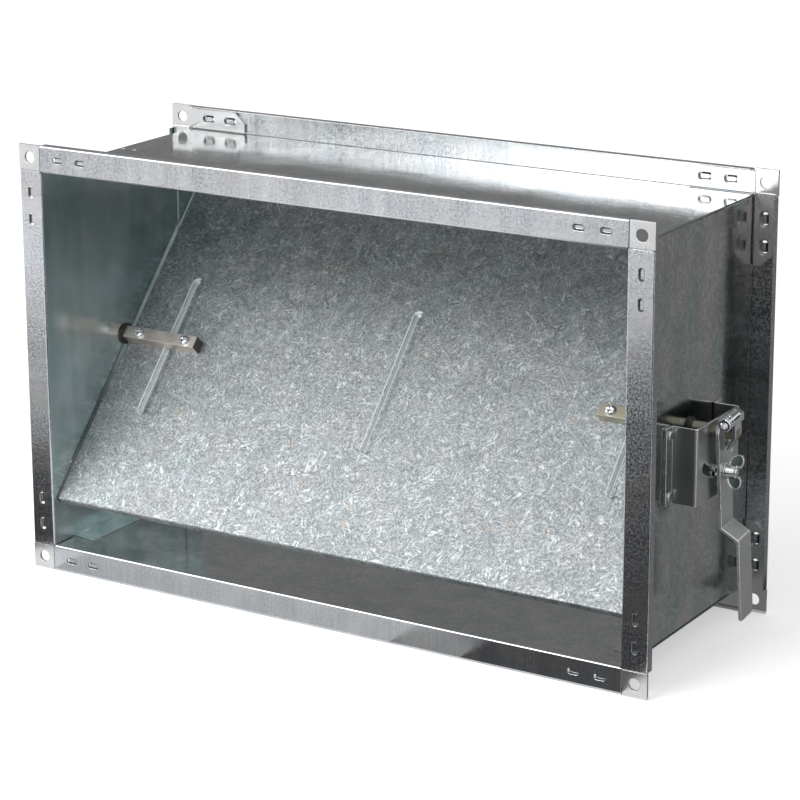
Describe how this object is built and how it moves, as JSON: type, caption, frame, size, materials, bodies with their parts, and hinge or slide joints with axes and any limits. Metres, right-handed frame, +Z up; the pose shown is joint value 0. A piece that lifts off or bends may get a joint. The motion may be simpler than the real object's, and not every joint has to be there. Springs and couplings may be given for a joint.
{
  "type": "duct shut-off damper",
  "caption": "Rectangular duct shut-off damper: flanged sheet casing, tilting blade on a shaft, and a hand lever that a wing nut locks in an arc slot.",
  "frame": {"origin": "centre of the front flange's bolt pattern, in the plane of the flange's face", "axes": "+X across the duct towards the hand lever, +Y along the air path from the front flange to the rear one, +Z up"},
  "size_m": [0.5613, 0.2087, 0.34],
  "materials": {
    "sheet_zinc": "galvanised sheet with a fine spangle",
    "rail_zinc": "roll-formed galvanised strip, satin",
    "corner_zinc": "pressed galvanised steel",
    "black_nylon": "moulded black nylon",
    "bracket_zinc": "folded galvanised sheet",
    "rivet_steel": "plated steel",
    "spangled_zinc": "galvanised sheet with a clear spangle",
    "yellow_zinc": "drawn bar, passivated zinc",
    "bright_zinc": "bright zinc plate",
    "lever_zinc": "zinc-plated strip",
    "bright_plate": "bright plated steel"
  },
  "bodies": {
    "casing": {"casing_top": "sheet_zinc", "casing_bottom": "sheet_zinc", "casing_left": "sheet_zinc", "casing_right": "sheet_zinc", "bush_left": "black_nylon", "bush_right": "black_nylon", "lever_bracket": "bracket_zinc", "bracket_rivets": "rivet_steel", "front_rail_top": "rail_zinc", "front_rail_bottom": "rail_zinc", "front_rail_left": "rail_zinc", "front_rail_right": "rail_zinc", "rear_rail_top": "rail_zinc", "rear_rail_bottom": "rail_zinc", "rear_rail_left": "rail_zinc", "rear_rail_right": "rail_zinc", "front_corner_top_left": "corner_zinc", "front_corner_top_right": "corner_zinc", "front_corner_bottom_left": "corner_zinc", "front_corner_bottom_right": "corner_zinc", "rear_corner_top_left": "corner_zinc", "rear_corner_top_right": "corner_zinc", "rear_corner_bottom_left": "corner_zinc", "rear_corner_bottom_right": "corner_zinc"},
    "blade": {"blade": "spangled_zinc", "shaft_left": "yellow_zinc", "shaft_right": "yellow_zinc", "shaft_screws": "bright_zinc", "shaft_nuts": "bright_zinc", "hand_lever": "lever_zinc", "hub_clamp": "bright_plate", "clamp_screw": "bright_plate", "clamp_nut": "bright_plate", "lock_bolt": "bright_zinc", "lock_spacer": "bright_zinc"},
    "wing_washer": {"wing_washer": "bright_zinc"},
    "wing_nut": {"wing_nut": "bright_plate"}
  },
  "joints": [
    {"name": "blade_turn", "type": "hinge", "parent": "casing", "child": "blade", "pos_m": [0, 0.1, 0], "axis": [1, 0, 0], "range_deg": [-47.6, 42.4]},
    {"name": "wing_turn", "type": "hinge", "parent": "blade", "child": "wing_washer", "pos_m": [0, 0.1036, -0.02928], "axis": [1, 0, 0], "range_deg": [0, 360]},
    {"name": "wing_travel", "type": "slide", "parent": "wing_washer", "child": "wing_nut", "axis": [1, 0, 0], "range_m": [0, 0.001]}
  ],
  "couplings": [
    {"joint": "wing_travel", "follows": "wing_turn", "m_per_rad": 0.000159}
  ]
}
